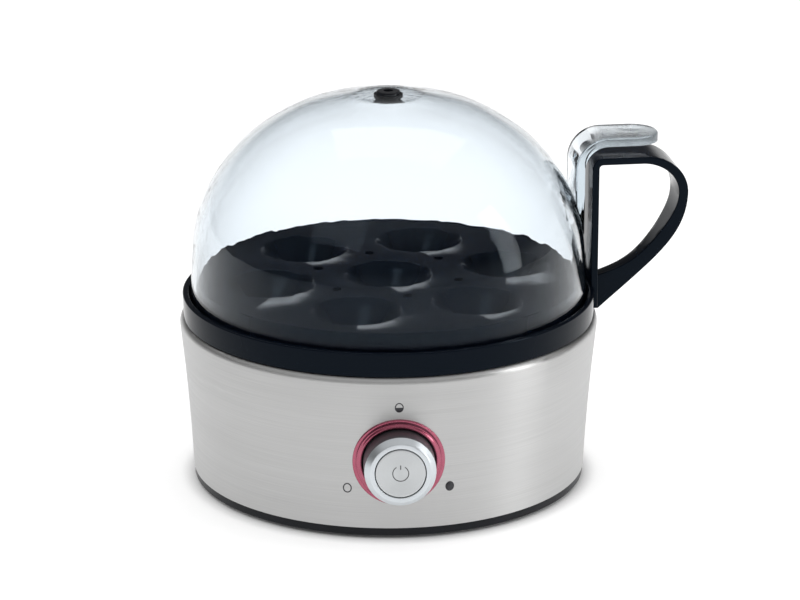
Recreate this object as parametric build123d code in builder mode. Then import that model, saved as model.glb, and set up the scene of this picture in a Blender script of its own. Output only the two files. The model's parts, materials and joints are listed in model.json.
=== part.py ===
from build123d import *
import math
import os

os.makedirs("parts", exist_ok=True)

# An egg boiler for seven eggs: a steel-clad base with a heated water dish, a lift-off
# egg tray with a strap handle, and a clear dome lid. Millimetres. It stands on z = 0
# with its round body on the Z axis. The knob faces -Y.

# ------------------------------------------------------------------ clearances
slide_gap = 0.3            # between pieces that lift off or slide past each other
shaft_gap = 0.08           # round a turning shaft
cover_gap = 0.4            # shadow lines between covers
free_gap = 1.0             # between inner pieces that need not touch

# ------------------------------------------------------------------ screw heads
head_slot_span = 1.2       # cross recess, in head radii
head_slot_width = 0.25
head_slot_depth = 0.4      # in head heights
head_round = 0.4

# ------------------------------------------------------------------ steel casing
casing_foot_radius = 76.5
casing_top_radius = 81.0
casing_foot_z = 4.5
casing_height = 60.5
casing_dip = 0.5           # how far the flank is hollow at mid height
casing_gauge = 0.8
casing_roll = 2.4          # radius of the rolled top edge

# ------------------------------------------------------------------ egg tray
rim_inset = 1.1            # rim inside the casing's top edge
rim_draft = 0.3            # the rim is this much narrower at its lower edge
rim_wall = 2.4
rim_height = 9.2
rim_round = 0.6
groove_depth = 6.0         # the lid stands in this groove inside the rim
groove_width = 3.9
tray_wall = 2.2
deck_rise = 6.0            # deck edge above the rim
deck_dish = 0.4            # the deck lies this much below its own edge
deck_bead = 1.1            # width of the raised edge
deck_round = 0.5
skirt_drop = 7.0           # locating skirt below the groove's floor
cup_margin = 26.6          # cup centres inside the deck's edge
cup_mouth_radius = 17.2
cup_foot_radius = 9.0
cup_depth = 10.7
cup_wall = 1.6
cup_round = 0.8
cup_count = 6              # round the middle cup
steam_hole_radius = 2.2
steam_hole_out = 0.8645    # steam holes beyond the middle of three cups
tray_turn = 5.0            # the tray drops in at any angle; here, handle from +X
cup_turn = 7.5             # cup ring from the handle

# ------------------------------------------------------------------ tray handle
handle_width = 22.0
handle_gauge = 2.7
handle_inset = 2.1         # inner face of the upright leg inside the rim's edge
handle_leg_drop = 8.6      # foot of the upright leg below the rim's top
handle_rise = 51.6         # top of the handle above the rim
handle_reach = 36.2        # furthest point outside the rim
handle_corner = 4.2
handle_brow = 16.2         # height of the far bend above its widest point
handle_brow_run = 17.0     # length of the far bend
handle_far_gauge = 3.7
handle_inner_run = 14.9    # length of the far bend's inner side
handle_elbow_out = 30.2    # outer edge of the lower arm, upper guide point
handle_elbow_up = 16.2
handle_arm_out = 19.4      # outer edge of the lower arm, lower guide point
handle_arm_up = 3.9
handle_elbow_gauge = 10.4  # depth of the arm above each guide point
handle_arm_gauge = 7.9
handle_tip_depth = 1.3     # depth of the arm's tip, in front of the casing's top edge
handle_tip_drop = 11.8     # tip below the rim's top
handle_tip_width = 3.0     # the arm narrows to this at its tip
handle_hollow = 0.85       # how far each side of the narrowing arm is hollow
handle_web_up = 2.0        # where the arm leaves the upright leg
handle_web_slope = 0.3
handle_edge = 0.4

# ------------------------------------------------------------------ dome lid
dome_wall = 2.0
dome_gap = 0.4             # lid foot inside the rim
dome_lean = 1.0            # shoulder inside the foot
dome_shoulder_rise = 17.6  # shoulder above the lid's foot
dome_crown = 66.5          # crown above the shoulder
dome_fullness = 2.1        # 2 is an ellipse, more is squarer
dome_steps = 8             # guide points of the crown's curve
vent_radius = 4.55
vent_bore_radius = 1.9
vent_stand = 0.8           # the vent bush stands this much above the crown
vent_round = 0.5
vent_flange = 1.0          # thickness and overlap of its flange under the wall
grip_width = 21.0
grip_gauge = 3.4
grip_inset = 6.3           # inner face of the upright inside the handle's leg
grip_lift = 4.5            # underside above the handle
grip_reach = 27.2          # tip beyond the handle's leg
grip_bend = 12.5           # outer radius of the bend
grip_foot_drop = 30.0      # the upright starts this far below the handle's top
grip_edge = 0.8
grip_tip_round = 10.0
dimple_ball = 14.0
dimple_depth = 0.7
dimple_from_tip = 10.8

# ------------------------------------------------------------------ base pan and foot ring
pan_inset = 0.3
pan_edge_z = 1.2
pan_floor_z = 3.0
pan_floor = 2.2
pan_wall = 1.8
pan_upstand = 4.0
pan_round = 0.5
foot_ring_inset = 6.0      # inside the circle of the pan screws
foot_ring_width = 4.0
foot_ring_height = 2.0
foot_ring_depth = 1.0      # how deep it sits in its groove
foot_rib = 1.5             # wall of the groove
foot_round = 0.4
vent_slot_count = 12
vent_slot_length = 12.0
vent_slot_width = 2.4
vent_slot_pitch = 40.0
vent_slot_turn = 15.0

# ------------------------------------------------------------------ inner housing
housing_wall = 2.4
housing_shelf_drop = 8.4   # shelf below the seat of the tray
housing_shelf = 2.0
housing_flange = 2.0
column_radius = 3.4
column_inset = 6.5         # column centres inside the narrower end of the casing
column_count = 4
column_turn = 45.0
pan_screw_radius = 1.4
pan_screw_head_radius = 2.8
pan_screw_head = 1.4
pan_screw_length = 14.0

# ------------------------------------------------------------------ heater
seal_width = 4.0
seal_height = 1.5
plate_gauge = 0.8
plate_flange = 6.0
plate_slope = 3.0
dish_depth = 5.7
clamp_gauge = 1.2
clamp_ring_gap = 0.2       # clamp ring inside the columns
clamp_ring_lap = 4.4       # clamp ring beyond the plate
clamp_screw_radius = 1.1
clamp_screw_inset = 2.2    # clamp screws inside the clamp ring's edge
clamp_screw_count = 3
clamp_screw_turn = 90.0
clamp_boss_radius = 2.0
clamp_screw_head = 1.2
spreader_radius = 48.0
spreader_thickness = 3.4
element_ring_radius = 38.0
element_tube_radius = 3.0
element_sweep = 320.0
element_tail = 8.0
terminal_width = 5.6
terminal_gauge = 0.8
terminal_length = 8.0
blade_width = 4.4
blade_length = 6.0
thermostat_radius = 6.5
thermostat_height = 6.0
thermostat_ear_pitch = 11.0
thermostat_ear_radius = 3.0
thermostat_ear_gauge = 0.8
small_screw_radius = 1.0
small_screw_head_radius = 2.0
small_screw_head = 1.0
small_screw_bite = 2.5
fuse_radius = 1.9
fuse_length = 12.0
fuse_lead_radius = 0.6
fuse_lead_stand = 1.9      # each lead beyond the body
fuse_place = 24.0
fuse_clip_gauge = 0.8
fuse_clip_width = 5.0
fuse_clip_span = 10.8
stud_radius = 1.5
stud_pitch = 27.0
stud_count = 3
stud_turn = 30.0
stud_stand = 1.0           # each stud beyond its nut
spacer_radius = 2.8
shield_radius = 44.0
shield_gauge = 0.8
shield_drop = 9.8          # spacer length between spreader and shield
shield_eye_radius = 9.0
shield_bay_width = 36.0    # bay for the element's tails
shield_bay_depth = 13.0
nut_across_flats = 5.5
nut_height = 2.4

# ------------------------------------------------------------------ knob and button
knob_z = 31.5
knob_radius = 13.35
knob_face_stand = 12.4     # knob face in front of the casing
knob_chamfer = 2.0
knob_chamfer_run = 2.3
knob_wall = 1.6
knob_edge = 0.25
knob_tuck = 3.0            # how far the knob reaches into the light ring
button_radius = 9.3
button_face = 2.5
button_skirt = 1.5
button_skirt_wall = 1.5
button_travel = 1.5
rod_radius = 1.4
rod_round = 0.7
shaft_radius = 3.0
hub_floor = 2.0
hub_sleeve_radius = 5.0
hub_sleeve_length = 5.0
spring_wire = 0.45
spring_radius = 3.4
spring_turns = 3.0
ring_radius = 17.3
ring_stand = 0.9           # light ring in front of the casing
ring_core_radius = 15.0
ring_depth = 11.0          # how far its core reaches into the base

# ------------------------------------------------------------------ control board
board_width = 48.0
board_height = 26.0
board_gauge = 1.6
board_setback = 18.0       # board front behind the casing
pot_side = 15.0
pot_depth = 6.5
pot_round = 1.5
pot_nose_radius = 4.8
pot_nose = 3.0
switch_side = 8.0
switch_depth = 9.0
switch_round = 0.8
switch_grip = 5.0          # how deep the rod enters the switch
post_side = 6.0
post_span = 40.0
board_screw_span = 16.0
relay_width = 9.5
relay_depth = 10.0
relay_height = 15.0
relay_round = 0.5
buzzer_radius = 5.0
buzzer_depth = 6.0
buzzer_hole_radius = 1.0
led_radius = 1.5
led_length = 4.5
led_pitch = 14.2
led_count = 4
led_turn = 45.0
led_round = 1.2

# ------------------------------------------------------------------ mains inlet
cord_bore_radius = 3.6
gland_radius = 6.0
gland_flange_radius = 7.5
gland_flange = 1.8
gland_nose = 3.0
gland_nose_radius = 4.8
cord_z = 17.0
clamp_block_length = 20.0
clamp_block_width = 8.0
clamp_block_height = 4.0
clamp_block_setback = 16.0
cord_clamp_screw_span = 14.0
block_length = 24.0
block_width = 12.0
block_height = 9.0
block_place = 42.0
block_round = 1.0
block_pitch = 8.0
block_screw_radius = 1.8
wire_radius = 1.1
wire_bend = 3.0
lead_rise = 5.0            # straight run of a lead at its terminals
lead_lane = 28.0           # the long lead passes this far beside the middle

# ------------------------------------------------------------------ heights that follow
casing_top_z = casing_foot_z + casing_height
rim_bottom_z = casing_top_z + cover_gap
rim_top_z = rim_bottom_z + rim_height
groove_z = rim_top_z - groove_depth
seat_z = groove_z - tray_wall
deck_edge_z = rim_top_z + deck_rise
deck_z = deck_edge_z - deck_dish
skirt_z = seat_z - skirt_drop
shelf_z = seat_z - housing_shelf_drop
seal_top_z = shelf_z - housing_shelf
flange_top_z = seal_top_z - seal_height
flange_z = flange_top_z - plate_gauge
dish_z = flange_top_z - dish_depth
plate_z = dish_z - plate_gauge
spreader_z = plate_z - spreader_thickness
shield_top_z = spreader_z - shield_drop
shield_z = shield_top_z - shield_gauge
floor_z = pan_floor_z + pan_floor
handle_top_z = rim_top_z + handle_rise
shoulder_z = groove_z + dome_shoulder_rise
crown_z = shoulder_z + dome_crown
grip_z = handle_top_z + grip_lift

# ------------------------------------------------------------------ radii that follow
rim_radius = casing_top_radius - rim_inset
rim_inner_radius = rim_radius - rim_wall
deck_radius = rim_inner_radius - groove_width
cup_pitch_radius = deck_radius - cup_margin
steam_hole_pitch = cup_pitch_radius / math.sqrt(3) + steam_hole_out
dome_foot_radius = rim_inner_radius - dome_gap
shoulder_radius = dome_foot_radius - dome_lean
skirt_inner_radius = deck_radius - tray_wall
housing_radius = rim_inner_radius - slide_gap
housing_inner_radius = housing_radius - housing_wall
lip_inner_radius = housing_radius + cover_gap
leg_inner = rim_radius - handle_inset
leg_outer = leg_inner + handle_gauge
handle_far = rim_radius + handle_reach
grip_inner = leg_inner - grip_inset
grip_outer = grip_inner + grip_gauge
grip_tip = leg_inner + grip_reach
pan_radius = casing_foot_radius - pan_inset
column_pitch = min(casing_foot_radius, housing_radius) - column_inset
foot_ring_radius = column_pitch - foot_ring_inset
clamp_ring_radius = column_pitch - column_radius - clamp_ring_gap
clamp_screw_pitch = clamp_ring_radius - clamp_screw_inset
plate_radius = clamp_ring_radius - clamp_ring_lap
dish_radius = plate_radius - plate_flange - plate_slope


# ------------------------------------------------------------------ helpers
def flank_radius(z, offset=0.0):
    """Radius of the casing's outside at a height, on the arc through foot, waist and top."""
    low = (casing_foot_radius, casing_foot_z)
    high = (casing_top_radius, casing_top_z - casing_roll)
    half = math.dist(low, high) / 2
    arc_radius = (half**2 + casing_dip**2) / (2 * casing_dip)
    lean = math.atan2(high[0] - low[0], high[1] - low[1])
    middle = ((low[0] + high[0]) / 2, (low[1] + high[1]) / 2)
    set_off = arc_radius - casing_dip
    centre = (middle[0] + set_off * math.cos(lean), middle[1] - set_off * math.sin(lean))
    return centre[0] - math.sqrt(arc_radius**2 - (z - centre[1]) ** 2) + offset


def flank_points(low_z, high_z, offset):
    """Foot, waist and top of the casing's flank between two heights."""
    middle_z = (low_z + high_z) / 2
    return [(flank_radius(z, offset), z) for z in (low_z, middle_z, high_z)]


def flank_solid(inner_offset, outer_offset):
    """A skin that follows the casing's flank, or a full body where the inner offset is None."""
    low_z = casing_foot_z
    high_z = casing_top_z - casing_roll
    outer = flank_points(low_z, high_z, outer_offset)
    with BuildPart() as skin:
        with BuildSketch(Plane.XZ):
            with BuildLine():
                ThreePointArc(*outer)
                if inner_offset is None:
                    Polyline(outer[2], (0, high_z), (0, low_z), outer[0])
                else:
                    inner = flank_points(low_z, high_z, inner_offset)
                    Line(outer[2], inner[2])
                    ThreePointArc(*reversed(inner))
                    Line(inner[0], outer[0])
            make_face()
        revolve(axis=Axis.Z)
    return skin.part


def around(radius, count, start=0.0):
    """Centres on a circle round the Z axis."""
    angles = [math.radians(start + step * 360.0 / count) for step in range(count)]
    return [(radius * math.cos(angle), radius * math.sin(angle)) for angle in angles]


def front_plane(reach, height=knob_z):
    """A plane that faces -Y at a distance from the axis, with X across and Y up."""
    return Plane(origin=(0, -reach, height), x_dir=(1, 0, 0), z_dir=(0, -1, 0))


def back_plane(reach, height=cord_z):
    """A plane that faces +Y at a distance from the axis, with Y up."""
    return Plane(origin=(0, reach, height), x_dir=(-1, 0, 0), z_dir=(0, 1, 0))


def upright_plane(angle):
    """An upright plane through the axis at an angle from +X: X outwards, Y up."""
    turn = math.radians(angle)
    outward = (math.cos(turn), math.sin(turn), 0)
    across = (math.sin(turn), -math.cos(turn), 0)
    return Plane(origin=(0, 0, 0), x_dir=outward, z_dir=across)


def screw_up(head_radius, head_height, shank_radius, shank_length):
    """A pan-head screw that stands on its head, with its bearing face at z = 0."""
    with BuildPart() as screw:
        with BuildSketch(Plane.XY.offset(-head_height)):
            Circle(head_radius)
        extrude(amount=head_height)
        fillet(screw.edges().group_by(Axis.Z)[0], head_height * head_round)
        with BuildSketch(Plane.XY.offset(-head_height)):
            SlotOverall(head_radius * head_slot_span, head_radius * head_slot_width)
            SlotOverall(head_radius * head_slot_span, head_radius * head_slot_width, rotation=90)
        extrude(amount=head_height * head_slot_depth, mode=Mode.SUBTRACT)
        with BuildSketch(Plane.XY):
            Circle(shank_radius)
        extrude(amount=shank_length)
    return screw.part


def finish(piece, name):
    """Label a sub-part and write it."""
    piece.part.label = name
    export_step(piece.part, f"parts/{name}.step")


# ================================================================== base: covers
wall_reach = flank_radius(knob_z)
cord_wall_reach = flank_radius(cord_z)
ring_hole_radius = ring_core_radius + shaft_gap
board_reach = wall_reach - board_setback
post_reach = board_reach - board_gauge
board_screw_points = [
    (side * post_span / 2, level * board_screw_span / 2) for side in (-1, 1) for level in (-1, 1)
]
column_points = around(column_pitch, column_count, column_turn)
clamp_screw_points = around(clamp_screw_pitch, clamp_screw_count, clamp_screw_turn)
clamp_y = cord_wall_reach - clamp_block_setback
cord_screw_points = [(side * cord_clamp_screw_span / 2, clamp_y) for side in (-1, 1)]

with BuildPart() as steel_casing:
    outer_flank = flank_points(casing_foot_z, casing_top_z - casing_roll, 0)
    inner_flank = flank_points(casing_foot_z, casing_top_z - casing_roll, -casing_gauge)
    roll_end = (casing_top_radius - casing_roll, casing_top_z)
    with BuildSketch(Plane.XZ):
        with BuildLine():
            ThreePointArc(*outer_flank)
            RadiusArc(outer_flank[2], roll_end, -casing_roll)
            Line(roll_end, (lip_inner_radius, casing_top_z))
            Line((lip_inner_radius, casing_top_z), (lip_inner_radius, casing_top_z - casing_gauge))
            inner_end = (roll_end[0], casing_top_z - casing_gauge)
            Line((lip_inner_radius, casing_top_z - casing_gauge), inner_end)
            RadiusArc(inner_end, inner_flank[2], casing_roll - casing_gauge)
            ThreePointArc(*reversed(inner_flank))
            Line(inner_flank[0], outer_flank[0])
        make_face()
    revolve(axis=Axis.Z)
    hole_length = casing_foot_radius + casing_top_radius
    with BuildSketch(front_plane(0)):
        Circle(ring_hole_radius)
    extrude(amount=hole_length, mode=Mode.SUBTRACT)
    with BuildSketch(back_plane(0)):
        Circle(gland_radius)
    extrude(amount=hole_length, mode=Mode.SUBTRACT)
finish(steel_casing, "steel_casing")

with BuildPart() as base_pan:
    upstand_radius = casing_foot_radius - casing_gauge - slide_gap
    upstand_inner = upstand_radius - pan_wall
    rib_outer = foot_ring_radius + foot_rib
    rib_inner = foot_ring_radius - foot_ring_width - foot_rib
    groove_top_z = foot_ring_height
    rib_z = foot_ring_height - foot_ring_depth
    with BuildSketch(Plane.XZ):
        with BuildLine():
            Polyline(
                (0, pan_floor_z),
                (rib_inner, pan_floor_z),
                (rib_inner, rib_z),
                (foot_ring_radius - foot_ring_width, rib_z),
                (foot_ring_radius - foot_ring_width, groove_top_z),
                (foot_ring_radius, groove_top_z),
                (foot_ring_radius, rib_z),
                (rib_outer, rib_z),
                (rib_outer, pan_floor_z),
                (pan_radius - pan_wall, pan_floor_z),
                (pan_radius - pan_wall, pan_edge_z),
                (pan_radius, pan_edge_z),
                (pan_radius, casing_foot_z),
                (upstand_radius, casing_foot_z),
                (upstand_radius, casing_foot_z + pan_upstand),
                (upstand_inner, casing_foot_z + pan_upstand),
                (upstand_inner, floor_z),
                (0, floor_z),
                close=True,
            )
        make_face()
    revolve(axis=Axis.Z)
    rim_edges = base_pan.edges().filter_by(GeomType.CIRCLE).filter_by_position(Axis.Z, 0, pan_edge_z)
    fillet([edge for edge in rim_edges if edge.radius > pan_radius - slide_gap], pan_round)
    # cooling slots in the floor
    with BuildSketch(Plane.XY.offset(pan_floor_z)):
        with PolarLocations(vent_slot_pitch, vent_slot_count, start_angle=vent_slot_turn):
            SlotOverall(vent_slot_length, vent_slot_width)
    extrude(amount=pan_floor, mode=Mode.SUBTRACT)
    # holes of the pan screws
    with BuildSketch(Plane.XY.offset(pan_floor_z)):
        with Locations(*column_points):
            Circle(pan_screw_radius + shaft_gap)
    extrude(amount=pan_floor, mode=Mode.SUBTRACT)
    # posts behind the control board
    with BuildSketch(Plane.XY.offset(floor_z)):
        with Locations(*[(side * post_span / 2, -post_reach + post_side / 2) for side in (-1, 1)]):
            Rectangle(post_side, post_side)
    extrude(amount=knob_z + board_height / 2 - floor_z)
    with BuildSketch(front_plane(post_reach)):
        with Locations(*board_screw_points):
            Circle(small_screw_radius)
    extrude(amount=-small_screw_bite, mode=Mode.SUBTRACT)
    # cradle under the mains lead
    cradle_z = cord_z - cord_bore_radius
    with BuildSketch(Plane.XY.offset(floor_z)):
        with Locations((0, clamp_y)):
            Rectangle(clamp_block_length, clamp_block_width)
    extrude(amount=cradle_z - floor_z)
    with BuildSketch(Plane.XY.offset(cradle_z)):
        with Locations(*cord_screw_points):
            Circle(pan_screw_radius)
    extrude(amount=-small_screw_bite, mode=Mode.SUBTRACT)
finish(base_pan, "base_pan")

with BuildPart() as foot_ring:
    with BuildSketch(Plane.XY):
        Circle(foot_ring_radius)
        Circle(foot_ring_radius - foot_ring_width, mode=Mode.SUBTRACT)
    extrude(amount=foot_ring_height)
    fillet(foot_ring.edges().group_by(Axis.Z)[0], foot_round)
finish(foot_ring, "foot_ring")

pan_screw = screw_up(pan_screw_head_radius, pan_screw_head, pan_screw_radius, pan_screw_length)
with BuildPart() as pan_screws:
    with Locations(*[(x, y, pan_floor_z) for x, y in column_points]):
        add(pan_screw)
finish(pan_screws, "pan_screws")

with BuildPart() as inner_housing:
    flange_radius = casing_top_radius - casing_roll
    flange_under_lip_z = casing_top_z - casing_gauge
    shelf_inner_radius = plate_radius - plate_flange + free_gap
    with BuildSketch(Plane.XZ):
        with BuildLine():
            Polyline(
                (shelf_inner_radius, shelf_z),
                (housing_inner_radius, shelf_z),
                (housing_inner_radius, seat_z),
                (housing_radius, seat_z),
                (housing_radius, flange_under_lip_z),
                (flange_radius, flange_under_lip_z),
                (flange_radius, flange_under_lip_z - housing_flange),
                (housing_radius, flange_under_lip_z - housing_flange),
                (housing_radius, seal_top_z),
                (shelf_inner_radius, seal_top_z),
                close=True,
            )
        make_face()
    revolve(axis=Axis.Z)
    with BuildSketch(Plane.XY.offset(floor_z)):
        with Locations(*column_points):
            Circle(column_radius)
    extrude(amount=seal_top_z - floor_z)
    with BuildSketch(Plane.XY.offset(floor_z)):
        with Locations(*column_points):
            Circle(pan_screw_radius)
    extrude(amount=pan_screw_length - pan_floor, mode=Mode.SUBTRACT)
    with BuildSketch(Plane.XY.offset(flange_z)):
        with Locations(*clamp_screw_points):
            Circle(clamp_boss_radius)
    extrude(amount=seal_top_z - flange_z)
    with BuildSketch(Plane.XY.offset(flange_z)):
        with Locations(*clamp_screw_points):
            Circle(clamp_screw_radius)
    extrude(amount=small_screw_bite, mode=Mode.SUBTRACT)
finish(inner_housing, "inner_housing")

# ================================================================== base: heater
with BuildPart() as plate_seal:
    with BuildSketch(Plane.XY.offset(flange_top_z)):
        Circle(plate_radius)
        Circle(plate_radius - seal_width, mode=Mode.SUBTRACT)
    extrude(amount=seal_height)
finish(plate_seal, "plate_seal")

with BuildPart() as heating_plate:
    with BuildSketch(Plane.XZ):
        with BuildLine():
            Polyline(
                (0, dish_z),
                (dish_radius, dish_z),
                (dish_radius + plate_slope, flange_top_z),
                (plate_radius, flange_top_z),
                (plate_radius, flange_z),
                (dish_radius + plate_slope + plate_gauge, flange_z),
                (dish_radius + plate_gauge, plate_z),
                (0, plate_z),
                close=True,
            )
        make_face()
    revolve(axis=Axis.Z)
    fillet(heating_plate.edges().group_by(Axis.Z)[0], plate_gauge)
finish(heating_plate, "heating_plate")

with BuildPart() as clamp_ring:
    with BuildSketch(Plane.XY.offset(flange_z - clamp_gauge)):
        Circle(clamp_ring_radius)
        Circle(plate_radius - seal_width, mode=Mode.SUBTRACT)
        with Locations(*clamp_screw_points):
            Circle(clamp_screw_radius + shaft_gap, mode=Mode.SUBTRACT)
    extrude(amount=clamp_gauge)
finish(clamp_ring, "clamp_ring")

clamp_screw_length = clamp_gauge + small_screw_bite
clamp_screw = screw_up(clamp_boss_radius, clamp_screw_head, clamp_screw_radius, clamp_screw_length)
with BuildPart() as clamp_screws:
    clamp_screw_z = flange_z - clamp_gauge
    with Locations(*[(x, y, clamp_screw_z) for x, y in clamp_screw_points]):
        add(clamp_screw)
finish(clamp_screws, "clamp_screws")

element_start = 90 + (360 - element_sweep) / 2
element_ends = [
    Vector(element_ring_radius, 0, spreader_z).rotate(Axis.Z, angle)
    for angle in (element_start, element_start + element_sweep)
]
with BuildPart() as heating_element:
    with BuildSketch(upright_plane(element_start)):
        with Locations((element_ring_radius, spreader_z)):
            Circle(element_tube_radius)
    revolve(axis=Axis.Z, revolution_arc=element_sweep)
    with Locations(*element_ends):
        Sphere(element_tube_radius)
        Cylinder(element_tube_radius, element_tail, align=(Align.CENTER, Align.CENTER, Align.MAX))
finish(heating_element, "heating_element")

with BuildPart() as element_terminals:
    with BuildSketch(Plane.XY.offset(spreader_z - element_tail)):
        with Locations(*[(end.X, end.Y) for end in element_ends]):
            Rectangle(terminal_width, terminal_gauge)
    extrude(amount=-terminal_length)
    tail_foot_z = spreader_z - element_tail - terminal_length
finish(element_terminals, "element_terminals")

heater_screw_points = [(0, -thermostat_ear_pitch), (0, thermostat_ear_pitch)]
with BuildPart() as heat_spreader:
    with BuildSketch(Plane.XY.offset(spreader_z)):
        Circle(spreader_radius)
        with Locations(*heater_screw_points):
            Circle(small_screw_radius, mode=Mode.SUBTRACT)
    extrude(amount=spreader_thickness)
    add(heating_element.part, mode=Mode.SUBTRACT)
finish(heat_spreader, "heat_spreader")

with BuildPart() as thermostat:
    ear_z = spreader_z - thermostat_ear_gauge
    with BuildSketch(Plane.XY.offset(ear_z)):
        ear_span = 2 * (thermostat_ear_pitch + thermostat_ear_radius)
        SlotOverall(ear_span, 2 * thermostat_ear_radius, rotation=90)
        with Locations(*heater_screw_points):
            Circle(small_screw_radius + shaft_gap, mode=Mode.SUBTRACT)
    extrude(amount=thermostat_ear_gauge)
    with BuildSketch(Plane.XY.offset(spreader_z - thermostat_height)):
        Circle(thermostat_radius)
    extrude(amount=thermostat_height)
    with BuildSketch(Plane.XY.offset(spreader_z - thermostat_height)):
        with Locations((-thermostat_radius / 2, 0), (thermostat_radius / 2, 0)):
            Rectangle(terminal_gauge, blade_width)
    extrude(amount=-blade_length)
    blade_foot_z = spreader_z - thermostat_height - blade_length
finish(thermostat, "thermostat")

heater_screw_length = thermostat_ear_gauge + small_screw_bite
heater_screw = screw_up(small_screw_head_radius, small_screw_head, small_screw_radius, heater_screw_length)
with BuildPart() as thermostat_screws:
    with Locations(*[(x, y, spreader_z - thermostat_ear_gauge) for x, y in heater_screw_points]):
        add(heater_screw)
finish(thermostat_screws, "thermostat_screws")

fuse_z = spreader_z - fuse_radius
with BuildPart() as thermal_fuse:
    with BuildSketch(Plane(origin=(-fuse_place, -fuse_length / 2, fuse_z), z_dir=(0, 1, 0))):
        Circle(fuse_radius)
    extrude(amount=fuse_length)
    lead_length = fuse_length + 2 * fuse_lead_stand
    with BuildSketch(Plane(origin=(-fuse_place, -lead_length / 2, fuse_z), z_dir=(0, 1, 0))):
        Circle(fuse_lead_radius)
    extrude(amount=lead_length)
finish(thermal_fuse, "thermal_fuse")

with BuildPart() as fuse_clip:
    clip_radius = fuse_radius + fuse_clip_gauge
    with BuildSketch(Plane(origin=(-fuse_place, 0, fuse_z), x_dir=(1, 0, 0), z_dir=(0, -1, 0))):
        Circle(clip_radius)
        with Locations((0, fuse_radius - fuse_clip_gauge / 2)):
            Rectangle(fuse_clip_span, fuse_clip_gauge)
        Circle(fuse_radius, mode=Mode.SUBTRACT)
        with Locations((0, fuse_radius / 2)):
            Rectangle(2 * fuse_radius, fuse_radius, mode=Mode.SUBTRACT)
        with Locations((0, fuse_radius + clip_radius)):
            Rectangle(fuse_clip_span, 2 * clip_radius, mode=Mode.SUBTRACT)
    extrude(amount=fuse_clip_width / 2, both=True)
finish(fuse_clip, "fuse_clip")

stud_points = around(stud_pitch, stud_count, stud_turn)
with BuildPart() as shield_studs:
    with BuildSketch(Plane.XY.offset(spreader_z)):
        with Locations(*stud_points):
            Circle(stud_radius)
    extrude(amount=-(shield_drop + shield_gauge + nut_height + stud_stand))
finish(shield_studs, "shield_studs")

with BuildPart() as shield_spacers:
    with BuildSketch(Plane.XY.offset(shield_top_z)):
        with Locations(*stud_points):
            Circle(spacer_radius)
            Circle(stud_radius + shaft_gap, mode=Mode.SUBTRACT)
    extrude(amount=shield_drop)
finish(shield_spacers, "shield_spacers")

with BuildPart() as heat_shield:
    with BuildSketch(Plane.XY.offset(shield_z)):
        Circle(shield_radius)
        Circle(shield_eye_radius, mode=Mode.SUBTRACT)
        with Locations((0, element_ring_radius)):
            Rectangle(shield_bay_width, shield_bay_depth, mode=Mode.SUBTRACT)
        with Locations(*stud_points):
            Circle(stud_radius + shaft_gap, mode=Mode.SUBTRACT)
    extrude(amount=shield_gauge)
finish(heat_shield, "heat_shield")

with BuildPart() as shield_nuts:
    with BuildSketch(Plane.XY.offset(shield_z - nut_height)):
        with Locations(*stud_points):
            RegularPolygon(nut_across_flats / 2, 6, major_radius=False)
            Circle(stud_radius, mode=Mode.SUBTRACT)
    extrude(amount=nut_height)
finish(shield_nuts, "shield_nuts")

# ================================================================== base: control
rod_hole_radius = rod_radius + slide_gap
with BuildPart() as control_board:
    with BuildSketch(front_plane(post_reach)):
        Rectangle(board_width, board_height)
        Circle(rod_hole_radius, mode=Mode.SUBTRACT)
        with Locations(*board_screw_points):
            Circle(small_screw_radius + shaft_gap, mode=Mode.SUBTRACT)
    extrude(amount=board_gauge)
finish(control_board, "control_board")

board_screw_length = board_gauge + small_screw_bite
board_screw = screw_up(small_screw_head_radius, small_screw_head, small_screw_radius, board_screw_length)
with BuildPart() as board_screws:
    for x, z in board_screw_points:
        with Locations(Location((x, -board_reach, knob_z + z), (-90, 0, 0))):
            add(board_screw)
finish(board_screws, "board_screws")

with BuildPart() as potentiometer:
    with BuildSketch(front_plane(board_reach)):
        RectangleRounded(pot_side, pot_side, pot_round)
    extrude(amount=pot_depth)
    with BuildSketch(front_plane(board_reach + pot_depth)):
        Circle(pot_nose_radius)
    extrude(amount=pot_nose)
    with BuildSketch(front_plane(board_reach)):
        Circle(shaft_radius + shaft_gap)
    extrude(amount=pot_depth + pot_nose, mode=Mode.SUBTRACT)
finish(potentiometer, "potentiometer")

with BuildPart() as push_switch:
    with BuildSketch(front_plane(post_reach - switch_depth)):
        RectangleRounded(switch_side, switch_side, switch_round)
    extrude(amount=switch_depth)
    with BuildSketch(front_plane(post_reach)):
        Circle(rod_hole_radius)
    extrude(amount=-switch_grip - slide_gap, mode=Mode.SUBTRACT)
finish(push_switch, "push_switch")

side_place = (switch_side / 2 + (post_span - post_side) / 2) / 2
with BuildPart() as relay:
    with BuildSketch(front_plane(post_reach - relay_depth)):
        with Locations((side_place, 0)):
            RectangleRounded(relay_width, relay_height, relay_round)
    extrude(amount=relay_depth)
finish(relay, "relay")

with BuildPart() as buzzer:
    with BuildSketch(front_plane(post_reach - buzzer_depth)):
        with Locations((-side_place, 0)):
            Circle(buzzer_radius)
            Circle(buzzer_hole_radius, mode=Mode.SUBTRACT)
    extrude(amount=buzzer_depth)
finish(buzzer, "buzzer")

with BuildPart() as ring_lights:
    with BuildSketch(front_plane(board_reach)):
        with PolarLocations(led_pitch, led_count, start_angle=led_turn):
            Circle(led_radius)
    extrude(amount=led_length)
    fillet(ring_lights.edges().group_by(Axis.Y)[0], led_round)
finish(ring_lights, "ring_lights")

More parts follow.
